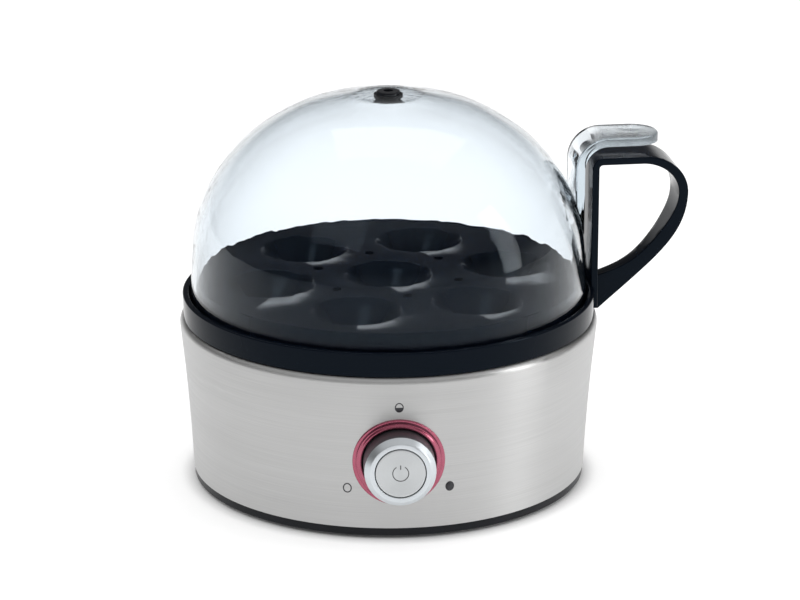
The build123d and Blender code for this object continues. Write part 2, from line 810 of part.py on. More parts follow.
# ------------------------------------------------------------------ light ring
ring_bore_radius = knob_radius + cover_gap
ring_skin = flank_solid(0.0, ring_stand)
ring_body = flank_solid(None, ring_stand)
with BuildPart() as ring_flange:
    with BuildSketch(front_plane(wall_reach - ring_depth)):
        Circle(ring_radius)
    extrude(amount=ring_depth + 2 * ring_stand)
    add(ring_skin, mode=Mode.INTERSECT)

with BuildPart() as light_ring:
    with BuildSketch(front_plane(wall_reach - ring_depth)):
        Circle(ring_core_radius)
    extrude(amount=ring_depth + 2 * ring_stand)
    add(ring_body, mode=Mode.INTERSECT)
    add(ring_flange.part)
    with BuildSketch(front_plane(wall_reach - ring_depth)):
        Circle(ring_bore_radius)
    extrude(amount=ring_depth + 2 * ring_stand, mode=Mode.SUBTRACT)
finish(light_ring, "light_ring")

# ================================================================== base: mains inlet
gland_inside = cord_wall_reach - casing_gauge - gland_flange
gland_length = gland_flange * 2 + casing_gauge + gland_nose
with BuildPart() as cord_gland:
    with BuildSketch(back_plane(gland_inside)):
        Circle(gland_flange_radius)
    extrude(amount=2 * gland_flange + casing_gauge)
    with BuildSketch(back_plane(gland_inside)):
        Circle(gland_nose_radius)
    extrude(amount=gland_length)
    with BuildSketch(back_plane(gland_inside)):
        Circle(cord_bore_radius)
    extrude(amount=gland_length, mode=Mode.SUBTRACT)
    add(steel_casing.part, mode=Mode.SUBTRACT)
finish(cord_gland, "cord_gland")

clamp_top_z = cord_z + cord_bore_radius + clamp_block_height
with BuildPart() as cord_clamp:
    with BuildSketch(back_plane(clamp_y - clamp_block_width / 2)):
        with Locations((0, (clamp_top_z - cord_z - cord_bore_radius) / 2)):
            Rectangle(clamp_block_length, clamp_top_z - cord_z + cord_bore_radius)
        Circle(cord_bore_radius, mode=Mode.SUBTRACT)
        with Locations((0, -cord_bore_radius / 2)):
            Rectangle(2 * cord_bore_radius, cord_bore_radius, mode=Mode.SUBTRACT)
    extrude(amount=clamp_block_width)
    with BuildSketch(Plane.XY.offset(clamp_top_z)):
        with Locations(*cord_screw_points):
            Circle(pan_screw_radius + shaft_gap)
    extrude(amount=-clamp_top_z + floor_z, mode=Mode.SUBTRACT)
finish(cord_clamp, "cord_clamp")

cord_screw_length = clamp_top_z - cord_z + cord_bore_radius + small_screw_bite
cord_screw = screw_up(pan_screw_head_radius, pan_screw_head, pan_screw_radius, cord_screw_length)
with BuildPart() as cord_clamp_screws:
    for x, y in cord_screw_points:
        with Locations(Location((x, y, clamp_top_z), (180, 0, 0))):
            add(cord_screw)
finish(cord_clamp_screws, "cord_clamp_screws")

with BuildPart() as terminal_block:
    with BuildSketch(Plane.XY.offset(floor_z)):
        with Locations((0, block_place)):
            RectangleRounded(block_length, block_width, block_round)
    extrude(amount=block_height)
    with BuildSketch(Plane.XY.offset(floor_z + block_height)):
        with Locations(*[(step * block_pitch, block_place - block_width / 4) for step in (-1, 0, 1)]):
            Circle(block_screw_radius)
    extrude(amount=-block_height / 2, mode=Mode.SUBTRACT)
finish(terminal_block, "terminal_block")

# Leads: block to element, block to relay, relay to thermostat, thermostat to element.
# Each one leaves and meets its terminals square on.
block_top_z = floor_z + block_height
block_back = block_place + block_width / 4
low_lane_z = block_top_z + lead_rise
high_lane_z = tail_foot_z - lead_rise
relay_back = -(post_reach - relay_depth)
relay_lane = relay_back + 2 * lead_rise
relay_low_z = knob_z - relay_height / 4
lead_routes = [
    [
        (-block_pitch, block_back, block_top_z),
        (-block_pitch, block_back, block_top_z + lead_rise),
        (element_ends[0].X, element_ends[0].Y, block_top_z + lead_rise),
        (element_ends[0].X, element_ends[0].Y, tail_foot_z),
    ],
    [
        (block_pitch, block_back, block_top_z),
        (block_pitch, block_back, low_lane_z),
        (lead_lane, block_back - lead_lane, low_lane_z),
        (lead_lane, relay_lane, low_lane_z),
        (side_place, relay_lane, relay_low_z),
        (side_place, relay_back, relay_low_z),
    ],
    [
        (side_place, relay_back, knob_z),
        (side_place, relay_lane, knob_z),
        (thermostat_radius / 2, -2 * lead_rise, blade_foot_z - lead_rise),
        (thermostat_radius / 2, 0, blade_foot_z - lead_rise),
        (thermostat_radius / 2, 0, blade_foot_z),
    ],
    [
        (-thermostat_radius / 2, 0, blade_foot_z),
        (-thermostat_radius / 2, 0, blade_foot_z - lead_rise),
        (element_ends[1].X, element_ends[1].Y, high_lane_z),
        (element_ends[1].X, element_ends[1].Y, tail_foot_z),
    ],
]
with BuildPart() as inner_leads:
    for route in lead_routes:
        with BuildLine() as lead_path:
            FilletPolyline(*route, radius=wire_bend)
        with BuildSketch(Plane(origin=lead_path.line @ 0, z_dir=lead_path.line % 0)):
            Circle(wire_radius)
        sweep(path=lead_path.line)
finish(inner_leads, "inner_leads")

# ================================================================== knob and button
face_reach = wall_reach + knob_face_stand
knob_back_reach = wall_reach - knob_tuck
knob_front_reach = face_reach - knob_wall
button_hole_radius = button_radius + slide_gap
hub_radius = knob_radius - knob_wall
button_back_reach = face_reach - button_face - button_skirt
hub_front_reach = button_back_reach - button_travel - slide_gap
shaft_inner_radius = rod_radius + slide_gap
hub_sleeve_reach = hub_front_reach - hub_floor - hub_sleeve_length

with BuildPart() as knob_shell:
    with BuildSketch(Plane.YZ):
        with BuildLine():
            Polyline(
                (-knob_back_reach, knob_z + hub_radius),
                (-knob_back_reach, knob_z + knob_radius),
                (-face_reach + knob_chamfer_run, knob_z + knob_radius),
                (-face_reach, knob_z + knob_radius - knob_chamfer),
                (-face_reach, knob_z + button_hole_radius),
                (-knob_front_reach, knob_z + button_hole_radius),
                (-knob_front_reach, knob_z + hub_radius),
                close=True,
            )
        make_face()
    revolve(axis=Axis((0, 0, knob_z), (0, 1, 0)))
    face_edges = knob_shell.edges().filter_by_position(Axis.Y, -face_reach, -face_reach)
    fillet(face_edges, knob_edge)
finish(knob_shell, "knob_shell")

with BuildPart() as knob_hub:
    hub_wall_radius = button_hole_radius
    with BuildSketch(front_plane(hub_front_reach - hub_floor)):
        Circle(hub_radius)
    extrude(amount=knob_front_reach - hub_front_reach + hub_floor)
    with BuildSketch(front_plane(hub_front_reach)):
        Circle(hub_wall_radius)
    extrude(amount=knob_front_reach - hub_front_reach, mode=Mode.SUBTRACT)
    with BuildSketch(front_plane(hub_sleeve_reach)):
        Circle(hub_sleeve_radius)
    extrude(amount=hub_sleeve_length + hub_floor)
    with BuildSketch(front_plane(hub_sleeve_reach)):
        Circle(shaft_radius)
    extrude(amount=hub_sleeve_length + hub_floor, mode=Mode.SUBTRACT)
finish(knob_hub, "knob_hub")

with BuildPart() as potentiometer_shaft:
    shaft_foot_reach = board_reach + free_gap
    with BuildSketch(front_plane(shaft_foot_reach)):
        Circle(shaft_radius)
        Circle(shaft_inner_radius, mode=Mode.SUBTRACT)
    extrude(amount=hub_front_reach - shaft_foot_reach)
finish(potentiometer_shaft, "potentiometer_shaft")

with BuildPart() as button_cap:
    with BuildSketch(front_plane(button_back_reach)):
        Circle(button_radius)
    extrude(amount=button_face + button_skirt)
    fillet(button_cap.edges().group_by(Axis.Y)[0], knob_edge)
    with BuildSketch(front_plane(button_back_reach)):
        Circle(button_radius - button_skirt_wall)
    extrude(amount=button_skirt, mode=Mode.SUBTRACT)
finish(button_cap, "button_cap")

with BuildPart() as button_rod:
    rod_foot_reach = post_reach - switch_grip + button_travel
    rod_top_reach = face_reach - button_face
    with BuildSketch(front_plane(rod_foot_reach)):
        Circle(rod_radius)
    extrude(amount=rod_top_reach - rod_foot_reach)
    fillet(button_rod.edges().group_by(Axis.Y)[-1], rod_round)
finish(button_rod, "button_rod")

with BuildPart() as button_spring:
    spring_foot_reach = hub_front_reach + spring_wire
    spring_length = rod_top_reach - spring_wire - spring_foot_reach
    spring_foot = front_plane(spring_foot_reach)
    with BuildLine() as coil:
        Helix(
            pitch=spring_length / spring_turns,
            height=spring_length,
            radius=spring_radius,
            center=spring_foot.origin,
            direction=spring_foot.z_dir,
        )
    with BuildSketch(Plane(origin=coil.line @ 0, z_dir=coil.line % 0)):
        Circle(spring_wire)
    sweep(path=coil.line)
finish(button_spring, "button_spring")

# ================================================================== egg tray
tray_plane = upright_plane(tray_turn)
cup_start = tray_turn + cup_turn
cup_points = [(0.0, 0.0)] + around(cup_pitch_radius, cup_count, cup_start)
steam_points = around(steam_hole_pitch, cup_count, cup_start + 180.0 / cup_count)

with BuildPart() as egg_tray:
    bead_radius = deck_radius - deck_bead
    with BuildSketch(Plane.XZ):
        with BuildLine():
            Polyline(
                (0, deck_z - tray_wall),
                (skirt_inner_radius, deck_z - tray_wall),
                (skirt_inner_radius, skirt_z),
                (deck_radius, skirt_z),
                (deck_radius, seat_z),
                (rim_inner_radius, seat_z),
                (rim_inner_radius, rim_bottom_z),
                (rim_radius - rim_draft, rim_bottom_z),
                (rim_radius, rim_top_z),
                (rim_inner_radius, rim_top_z),
                (rim_inner_radius, groove_z),
                (deck_radius, groove_z),
                (deck_radius, deck_edge_z),
                (bead_radius, deck_edge_z),
                (bead_radius - deck_dish, deck_z),
                (0, deck_z),
                close=True,
            )
        make_face()
    revolve(axis=Axis.Z)
    top_edges = egg_tray.edges().filter_by_position(Axis.Z, rim_top_z, rim_top_z)
    fillet(top_edges, rim_round)
    deck_edges = egg_tray.edges().filter_by_position(Axis.Z, deck_edge_z, deck_edge_z)
    fillet(deck_edges, deck_round)
    cup_z = deck_z - cup_depth
    for x, y in cup_points:
        with Locations((x, y, cup_z)):
            Cone(
                cup_foot_radius + cup_wall,
                cup_mouth_radius + cup_wall,
                cup_depth,
                align=(Align.CENTER, Align.CENTER, Align.MIN),
            )
    for x, y in cup_points:
        with Locations((x, y, cup_z)):
            Cone(
                cup_foot_radius,
                cup_mouth_radius,
                cup_depth,
                align=(Align.CENTER, Align.CENTER, Align.MIN),
                mode=Mode.SUBTRACT,
            )
    mouths = egg_tray.edges().filter_by(GeomType.CIRCLE).filter_by_position(Axis.Z, deck_z, deck_z)
    fillet([edge for edge in mouths if abs(edge.radius - cup_mouth_radius) < slide_gap], cup_round)
    with BuildSketch(Plane.XY.offset(deck_z)):
        with Locations(*steam_points):
            Circle(steam_hole_radius)
    extrude(amount=-tray_wall, mode=Mode.SUBTRACT)
finish(egg_tray, "egg_tray")

with BuildPart() as tray_handle:
    far_z = handle_top_z - handle_brow
    brow_start = handle_far - handle_brow_run
    tip_inner = casing_top_radius + slide_gap
    root = (tip_inner + handle_tip_depth, rim_top_z - handle_tip_drop)
    arm = (rim_radius + handle_arm_out, rim_top_z + handle_arm_up)
    elbow = (rim_radius + handle_elbow_out, rim_top_z + handle_elbow_up)
    root_slope = (root[0] - arm[0], root[1] - arm[1])
    inner_far = handle_far - handle_far_gauge
    inner_start = inner_far - handle_inner_run
    web_slope = (-1, -handle_web_slope)
    inner_top_z = handle_top_z - handle_gauge
    inner_corner = handle_corner - handle_gauge
    inner_elbow = (elbow[0], elbow[1] + handle_elbow_gauge)
    inner_arm = (arm[0], arm[1] + handle_arm_gauge)
    web = (leg_outer, rim_top_z + handle_web_up)
    leg_foot_z = rim_top_z - handle_leg_drop
    with BuildSketch(tray_plane):
        with BuildLine():
            Line((leg_inner, leg_foot_z), (leg_inner, handle_top_z - handle_corner))
            RadiusArc(
                (leg_inner, handle_top_z - handle_corner),
                (leg_inner + handle_corner, handle_top_z),
                handle_corner,
            )
            Line((leg_inner + handle_corner, handle_top_z), (brow_start, handle_top_z))
            EllipticalCenterArc((brow_start, far_z), handle_brow_run, handle_brow, arc_size=90)
            Spline((handle_far, far_z), elbow, arm, root, tangents=((0, -1), root_slope))
            Polyline(root, (tip_inner, root[1]), (tip_inner, leg_foot_z), (leg_inner, leg_foot_z))
        make_face()
        with BuildLine():
            Line(web, (leg_outer, inner_top_z - inner_corner))
            RadiusArc(
                (leg_outer, inner_top_z - inner_corner),
                (leg_outer + inner_corner, inner_top_z),
                inner_corner,
            )
            Line((leg_outer + inner_corner, inner_top_z), (inner_start, inner_top_z))
            EllipticalCenterArc((inner_start, far_z), handle_inner_run, inner_top_z - far_z, arc_size=90)
            Spline((inner_far, far_z), inner_elbow, inner_arm, web, tangents=((0, -1), web_slope))
        make_face(mode=Mode.SUBTRACT)
    extrude(amount=handle_width / 2, both=True)
    # outside the leg the strap narrows on both sides, down to its tip
    leg_origin = tray_plane.from_local_coords((leg_outer, 0, 0))
    leg_plane = Plane(origin=leg_origin, x_dir=-tray_plane.z_dir, z_dir=tray_plane.x_dir)
    full = (handle_width / 2, handle_top_z - handle_corner)
    tip = (handle_tip_width / 2, root[1] - free_gap)
    waist = ((full[0] + tip[0]) / 2 - handle_hollow, (full[1] + tip[1]) / 2)
    with BuildSketch(leg_plane):
        with BuildLine():
            ThreePointArc(full, waist, tip)
            Polyline(tip, (handle_width, tip[1]), (handle_width, full[1]), full)
        make_face()
        mirror(about=Plane.YZ)
    extrude(amount=handle_far, mode=Mode.SUBTRACT)
    # every outer edge is rounded, but not the seams where the narrowing starts and meets the leg
    flat_sides = tray_handle.faces().filter_by(tray_plane)
    narrow_sides = tray_handle.faces().filter_by(GeomType.CYLINDER).sort_by(SortBy.AREA)[-2:]
    seams = flat_sides.edges() & narrow_sides.edges()
    leg_axis = Axis(leg_origin, tray_plane.x_dir)
    leg_edges = narrow_sides.edges().filter_by_position(leg_axis, -shaft_gap, shaft_gap)
    fillet((flat_sides.edges() + narrow_sides.edges()) - seams - leg_edges, handle_edge)
    add(egg_tray.part, mode=Mode.SUBTRACT)
finish(tray_handle, "tray_handle")

# ================================================================== lid
def dome_sketch_points(inset):
    """Points on the crown between the shoulder and the top, on a superellipse."""
    points = []
    for step in range(1, dome_steps):
        angle = math.radians(step * 90 / dome_steps)
        radius = (shoulder_radius - inset) * math.cos(angle) ** (2 / dome_fullness)
        height = (dome_crown - inset) * math.sin(angle) ** (2 / dome_fullness)
        points.append((radius, shoulder_z + height))
    return points


def dome_solid(inset):
    """The dome as a full body, drawn in from its outside by an inset."""
    foot = (dome_foot_radius - inset, groove_z)
    shoulder = (shoulder_radius - inset, shoulder_z)
    crown = (0, crown_z - inset)
    lean = (-dome_lean, dome_shoulder_rise)
    with BuildPart() as dome:
        with BuildSketch(Plane.XZ):
            with BuildLine():
                Line((0, groove_z), foot)
                Line(foot, shoulder)
                Spline(shoulder, *dome_sketch_points(inset), crown, tangents=(lean, (-1, 0)))
                Line(crown, (0, groove_z))
            make_face()
        revolve(axis=Axis.Z)
    return dome.part


dome_outside = dome_solid(0.0)
dome_inside = dome_solid(dome_wall)

with BuildPart() as lid_grip:
    grip_top_z = grip_z + grip_gauge
    grip_foot_z = handle_top_z - grip_foot_drop
    inner_bend = grip_bend - grip_gauge
    with BuildSketch(tray_plane):
        with BuildLine():
            Line((grip_inner, grip_foot_z), (grip_inner, grip_top_z - grip_bend))
            RadiusArc(
                (grip_inner, grip_top_z - grip_bend), (grip_inner + grip_bend, grip_top_z), grip_bend
            )
            Line((grip_inner + grip_bend, grip_top_z), (grip_tip, grip_top_z))
            Line((grip_tip, grip_top_z), (grip_tip, grip_z))
            Line((grip_tip, grip_z), (grip_outer + inner_bend, grip_z))
            RadiusArc(
                (grip_outer + inner_bend, grip_z), (grip_outer, grip_z - inner_bend), -inner_bend
            )
            Line((grip_outer, grip_z - inner_bend), (grip_outer, grip_foot_z))
            Line((grip_outer, grip_foot_z), (grip_inner, grip_foot_z))
        make_face()
    extrude(amount=grip_width / 2, both=True)
    grip_axis = Axis((0, 0, 0), tray_plane.x_dir)
    tip_edges = lid_grip.edges().filter_by(Axis.Z).sort_by(grip_axis)[-2:]
    fillet(tip_edges, grip_tip_round)
    rounding = lid_grip.faces().sort_by(Axis.Z)[-1].edges()
    fillet(rounding, grip_edge)

with BuildPart() as dome_lid:
    add(dome_outside)
    add(lid_grip.part)
    add(dome_inside, mode=Mode.SUBTRACT)
    with BuildSketch(Plane.XY.offset(crown_z - 2 * dome_wall)):
        Circle(vent_radius)
    extrude(amount=4 * dome_wall, mode=Mode.SUBTRACT)
    dimple_reach = grip_tip - dimple_from_tip
    dimple_height = grip_top_z + dimple_ball - dimple_depth
    with Locations(tray_plane.from_local_coords((dimple_reach, dimple_height, 0))):
        Sphere(dimple_ball, mode=Mode.SUBTRACT)
finish(dome_lid, "dome_lid")

with BuildPart() as vent_bush:
    bush_foot_z = crown_z - dome_wall - vent_flange
    with BuildSketch(Plane.XY.offset(crown_z - dome_wall)):
        Circle(vent_radius)
    extrude(amount=dome_wall + vent_stand)
    fillet(vent_bush.edges().group_by(Axis.Z)[-1], vent_round)
    with BuildSketch(Plane.XY.offset(bush_foot_z)):
        Circle(vent_radius + vent_flange)
    extrude(amount=vent_flange)
    with BuildSketch(Plane.XY.offset(bush_foot_z)):
        Circle(vent_bore_radius)
    extrude(amount=crown_z + vent_stand - bush_foot_z, mode=Mode.SUBTRACT)
    add(dome_lid.part, mode=Mode.SUBTRACT)
finish(vent_bush, "vent_bush")
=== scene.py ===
import json
import math

import bmesh
import bpy
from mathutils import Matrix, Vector
from mathutils.bvhtree import BVHTree

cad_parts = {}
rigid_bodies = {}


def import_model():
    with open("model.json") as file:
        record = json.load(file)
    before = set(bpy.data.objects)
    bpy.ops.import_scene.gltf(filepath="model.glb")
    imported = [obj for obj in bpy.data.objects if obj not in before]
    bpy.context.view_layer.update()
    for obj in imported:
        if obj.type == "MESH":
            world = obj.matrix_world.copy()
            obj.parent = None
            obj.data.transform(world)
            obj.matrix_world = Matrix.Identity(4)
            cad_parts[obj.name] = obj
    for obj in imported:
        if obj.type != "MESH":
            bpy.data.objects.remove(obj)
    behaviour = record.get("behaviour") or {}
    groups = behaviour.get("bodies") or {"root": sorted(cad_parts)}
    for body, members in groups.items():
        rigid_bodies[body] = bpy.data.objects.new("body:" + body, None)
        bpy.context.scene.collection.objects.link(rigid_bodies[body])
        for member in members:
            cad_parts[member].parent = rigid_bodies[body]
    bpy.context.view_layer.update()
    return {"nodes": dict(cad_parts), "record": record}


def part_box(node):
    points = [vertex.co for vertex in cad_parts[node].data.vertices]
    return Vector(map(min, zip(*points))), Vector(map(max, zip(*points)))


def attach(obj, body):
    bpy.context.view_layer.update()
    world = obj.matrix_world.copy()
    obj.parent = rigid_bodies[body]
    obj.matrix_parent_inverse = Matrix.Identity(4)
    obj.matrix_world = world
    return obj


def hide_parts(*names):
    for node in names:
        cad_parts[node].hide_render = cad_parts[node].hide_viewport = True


# The looks of an egg boiler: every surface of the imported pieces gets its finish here, and
# the light ring, the button's face and the printed signs get their fine shape.
for thing in list(bpy.data.objects):
    bpy.data.objects.remove(thing)
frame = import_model()

mm = 0.001

# ------------------------------------------------------------------ places from the frame
button_low, button_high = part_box("button_cap")
knob_z = (button_low.z + button_high.z) / 2
button_radius = (button_high.x - button_low.x) / 2
button_front = button_low.y
button_depth = button_high.y - button_low.y
ring_low, ring_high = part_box("light_ring")
ring_radius = (ring_high.x - ring_low.x) / 2
knob_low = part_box("knob_shell")[0]

# ------------------------------------------------------------------ finishes
noise_low = 0.3               # most of a noise's values lie between these
noise_high = 0.7
brush_cells = (26, 26, 5200)  # the casing's brush lines, in cells to the metre
gleam_cells = (9, 9, 1400)
dish_turning = 1800           # fine turning rings, in cells to the metre
knob_turning = 5200
turning_shade = 0.94          # the darker lines of the turned silver
knob_chamfer_run = 2.3 * mm   # the knob's bright chamfer ends here and its barrel, darkened with painted shade, starts
barrel_edge_y = knob_low.y + knob_chamfer_run
barrel_edge_blur = 0.1 * mm
board_cells = 130
lid_index = 1.49
lid_polish = 0.02             # the dome's most roughness
lid_smoke = (0.78, 0.83, 0.86)          # the colour that the lid's plastic takes with depth
lid_smoke_density = 85.0
lid_shadow = (0.93, 0.945, 0.95)        # share of the lamps' light that goes through the lid
grip_frost_start = 76 * mm    # the lid's grip is moulded with a soft frost beyond the dome
grip_frost_end = 84 * mm
grip_frost = 0.26

# ------------------------------------------------------------------ fine shapes
round_steps = 192
weld_reach = 0.001 * mm
merge_reach = 0.0005 * mm
node_corner = 30              # edges sharper than this stay crisp, in degrees
piece_corner = 35
ring_corner = 50
button_dish = 0.12 * mm       # the button's face is this hollow
button_edge = 0.3 * mm
button_skirt = 1.5 * mm
button_hole = 0.02 * mm       # a lathe needs a radius at its axis
button_face_steps = 12
button_edge_steps = 4
casing_outside = 0.2          # rays to the casing start here, in metres
ring_bore_gap = 3.55 * mm     # the ring's bore inside its edge
ring_crest = 1.1 * mm         # crest of the ring above the steel
ring_inside = 10.5 * mm       # how far the ring's core reaches in
ring_core_inset = 2.3 * mm
ring_sink = 0.05 * mm         # the ring's edge starts this far under the steel's face
# The ring's outer band, its groove and its bead: how far inside the ring's edge, in mm, and
# the height as a share of the crest.
ring_section = (
    (0.0, 0.3), (0.12, 0.55), (0.4, 0.68), (1.0, 0.66), (1.4, 0.5),
    (1.75, 0.38), (2.1, 0.5), (2.4, 0.85), (2.75, 1.0), (3.1, 0.94),
)
ring_bore_section = ((0.12, 0.7), (0.02, 0.1))    # the same, outside the bore
print_stand = 0.03 * mm       # thickness of a printed sign
egg_marks = {"mark_medium": 90, "mark_soft": 210, "mark_hard": 330}    # degrees round the knob
egg_mark_pitch = 22.1 * mm
egg_mark_wide = 3.3 * mm
egg_mark_high = 3.9 * mm
egg_mark_line = 0.42 * mm
sign_steps = 48
power_radius = 3.1 * mm
power_line = 0.32 * mm
power_gap = 32.0              # half the gap at the top of the circle, in degrees
power_bar = 1.7 * mm
power_steps = 72

# ------------------------------------------------------------------ floor and room
floor_span = 8.0
floor_cells = 16
floor_colour = 0.85
painted_shade_glow = 0.02              # the floor's own white, at the object's foot, where it is low as painted shade, and away from it
glow_far = 0.38
glow_start = 0.074            # and where it changes, from the object's axis in metres
glow_end = 0.083
glow_gloss = 0.42             # the floor as gloss sees it, in front of the object and behind it
glow_gloss_back = 0.58
glow_back_start = 0.05
glow_back_end = 0.40
sky_glow = 0.70               # light of the room on the object
sky_back = 0.95               # what gloss sees of the room: behind, in front, above, overhead
sky_front = 0.62
sky_above = 0.10
sky_top = 0.60
sky_front_end = 0.1           # directions into the room, Y: the front turns into the back
sky_back_start = 0.6
sky_rise_low = 0.04           # Z: the white sweep ends between these
sky_rise_high = 0.22
sky_top_low = 0.42            # Z: and the bright ceiling starts between these
sky_top_high = 0.75
sky_flag = 0.25               # share of the room that a dark flag on the left leaves
sky_flag_start = -0.35        # X: the flag starts and is full
sky_flag_end = -0.80
lamp_target = (0, 0, 0.08)

# ------------------------------------------------------------------ camera
camera_turn = -3.0
camera_rise = 18.03
camera_distance = 1.400
camera_target = (0, 0, 0.0694)
camera_aside = 0.00446        # to its own right
camera_lens = 162.09
camera_sensor = 36.0
camera_near = 0.05
camera_far = 30.0


# ------------------------------------------------------------------ node trees
class Graph:
    """The node tree of a material or of the world, with helpers for the values in it."""

    def __init__(self, tree):
        self.nodes = tree.nodes
        self.links = tree.links

    def feed(self, socket, value):
        """Link a socket to another, or set a plain number or colour on it."""
        if isinstance(value, bpy.types.NodeSocket):
            self.links.new(value, socket)
        else:
            socket.default_value = value

    def light_path(self):
        return self.nodes.new("ShaderNodeLightPath").outputs

    def split(self, vector):
        """The X, Y and Z of a vector."""
        node = self.nodes.new("ShaderNodeSeparateXYZ")
        self.feed(node.inputs["Vector"], vector)
        return node.outputs

    def length(self, vector):
        node = self.nodes.new("ShaderNodeVectorMath")
        node.operation = "LENGTH"
        self.feed(node.inputs[0], vector)
        return node.outputs["Value"]

    def calc(self, operation, first, second, clamp=False):
        node = self.nodes.new("ShaderNodeMath")
        node.operation = operation
        node.use_clamp = clamp
        self.feed(node.inputs[0], first)
        self.feed(node.inputs[1], second)
        return node.outputs["Value"]

    def ramp(self, value, start, end, low=0.0, high=1.0, shape="SMOOTHSTEP"):
        """The low value up to the start, the high one from the end on, and a ramp between."""
        node = self.nodes.new("ShaderNodeMapRange")
        node.interpolation_type = shape
        node.inputs["From Min"].default_value = start
        node.inputs["From Max"].default_value = end
        node.inputs["To Min"].default_value = low
        node.inputs["To Max"].default_value = high
        self.feed(node.inputs["Value"], value)
        return node.outputs["Result"]

    def mix(self, factor, first, second, kind="FLOAT"):
        """The first value where the factor is 0 and the second where it is 1."""
        node = self.nodes.new("ShaderNodeMix")
        node.data_type = kind
        self.feed(node.inputs["Factor"], factor)
        self.feed(node.inputs["A"], first)
        self.feed(node.inputs["B"], second)
        return node.outputs["Result"]


class Look(Graph):
    """A material round one Principled shader, with helpers for its procedural texture."""

    def __init__(self, name, colour, roughness, sockets=None):
        self.material = bpy.data.materials.new(name)
        self.material.use_nodes = True
        super().__init__(self.material.node_tree)
        self.shader = self.nodes["Principled BSDF"]
        self.shader.inputs["Base Color"].default_value = (*colour, 1)
        self.shader.inputs["Roughness"].default_value = roughness
        for socket, value in (sockets or {}).items():
            self.shader.inputs[socket].default_value = value

    def place(self, scale=(1, 1, 1), origin=(0, 0, 0)):
        """Object coordinates in metres, about an origin and scaled along each axis."""
        source = self.nodes.new("ShaderNodeTexCoord")
        mapping = self.nodes.new("ShaderNodeMapping")
        mapping.inputs["Scale"].default_value = scale
        mapping.inputs["Location"].default_value = [-o * s for o, s in zip(origin, scale)]
        self.links.new(source.outputs["Object"], mapping.inputs["Vector"])
        return mapping.outputs["Vector"]

    def noise(self, cells, detail=2.0):
        """Noise with so many cells to the metre, the same or its own along each axis."""
        scale = cells if isinstance(cells, tuple) else (cells,) * 3
        texture = self.nodes.new("ShaderNodeTexNoise")
        texture.inputs["Scale"].default_value = 1.0
        texture.inputs["Detail"].default_value = detail
        self.links.new(self.place(scale), texture.inputs["Vector"])
        return texture.outputs["Fac"]

    def rings(self, scale, origin, cells):
        """Fine rings about an axis: the scale is 0 along it and 1 across it."""
        reach = self.length(self.place(scale, origin))
        texture = self.nodes.new("ShaderNodeTexNoise")
        texture.noise_dimensions = "1D"
        texture.inputs["Scale"].default_value = 1.0
        texture.inputs["Detail"].default_value = 2.0
        self.links.new(self.calc("MULTIPLY", reach, cells), texture.inputs["W"])
        return texture.outputs["Fac"]

    def spread(self, noise, low, high):
        """The middle of a noise's range, mapped to a low and a high value."""
        return self.ramp(noise, noise_low, noise_high, low, high, "LINEAR")

    def roughness(self, noise, low, high):
        self.feed(self.shader.inputs["Roughness"], self.spread(noise, low, high))

    def colour(self, noise, dark, light):
        blend = self.mix(self.spread(noise, 0.0, 1.0), (*dark, 1), (*light, 1), "RGBA")
        self.feed(self.shader.inputs["Base Color"], blend)
        return blend

    def bump(self, noise, strength, depth):
        relief = self.nodes.new("ShaderNodeBump")
        relief.inputs["Strength"].default_value = strength
        relief.inputs["Distance"].default_value = depth
        self.links.new(noise, relief.inputs["Height"])
        self.links.new(relief.outputs["Normal"], self.shader.inputs["Normal"])

    def turned(self, axis):
        """Brushing round an axis: the gloss stretches across the brush lines."""
        tangent = self.nodes.new("ShaderNodeTangent")
        tangent.direction_type = "RADIAL"
        tangent.axis = axis
        self.links.new(tangent.outputs["Tangent"], self.shader.inputs["Tangent"])


# ------------------------------------------------------------------ materials
def casing_steel():
    sockets = {"Metallic": 1.0, "Anisotropic": 0.7, "Anisotropic Rotation": 0.25}
    look = Look("casing_steel", (0.62, 0.62, 0.63), 0.3, sockets)
    lines = look.noise(brush_cells, detail=3.0)
    look.colour(lines, dark=(0.575, 0.575, 0.572), light=(0.635, 0.635, 0.632))
    look.roughness(look.noise(gleam_cells), low=0.39, high=0.44)
    look.bump(lines, strength=0.05, depth=0.01 * mm)
    look.turned("Z")
    return look.material


def gloss_black():
    sockets = {"Specular IOR Level": 0.10, "Specular Tint": (0.62, 0.82, 1.0, 1.0)}
    look = Look("gloss_black", (0.0025, 0.004, 0.0075), 0.08, sockets)
    look.roughness(look.noise(90, detail=4.0), low=0.05, high=0.11)
    look.bump(look.noise(26), strength=0.08, depth=0.15 * mm)
    return look.material


def satin_black():
    look = Look("satin_black", (0.008, 0.009, 0.012), 0.36, {"Specular IOR Level": 0.2})
    mottle = look.noise(60, detail=3.0)
    look.colour(mottle, dark=(0.006, 0.007, 0.009), light=(0.010, 0.011, 0.015))
    look.roughness(look.noise(800), low=0.30, high=0.42)
    look.bump(look.noise(1800), strength=0.15, depth=0.03 * mm)
    return look.material


def black_rubber():
    look = Look("black_rubber", (0.018, 0.018, 0.019), 0.7, {"Specular IOR Level": 0.3})
    look.roughness(look.noise(500, detail=3.0), low=0.62, high=0.8)
    look.bump(look.noise(1500, detail=3.0), strength=0.25, depth=0.05 * mm)
    return look.material


def plain_moulding(name, dark, light, low, high):
    """A moulded plastic or rubber with a little mottle and a fine skin."""
    look = Look(name, light, (low + high) / 2)
    look.colour(look.noise(70, detail=3.0), dark, light)
    skin = look.noise(900)
    look.roughness(skin, low, high)
    look.bump(skin, strength=0.1, depth=0.03 * mm)
    return look.material


def plain_metal(name, dark, light, low, high, cells):
    """A metal with a fine even grain."""
    look = Look(name, light, (low + high) / 2, {"Metallic": 1.0})
    grain = look.noise(cells, detail=3.0)
    look.colour(grain, dark, light)
    look.roughness(grain, low, high)
    look.bump(grain, strength=0.1, depth=0.02 * mm)
    return look.material


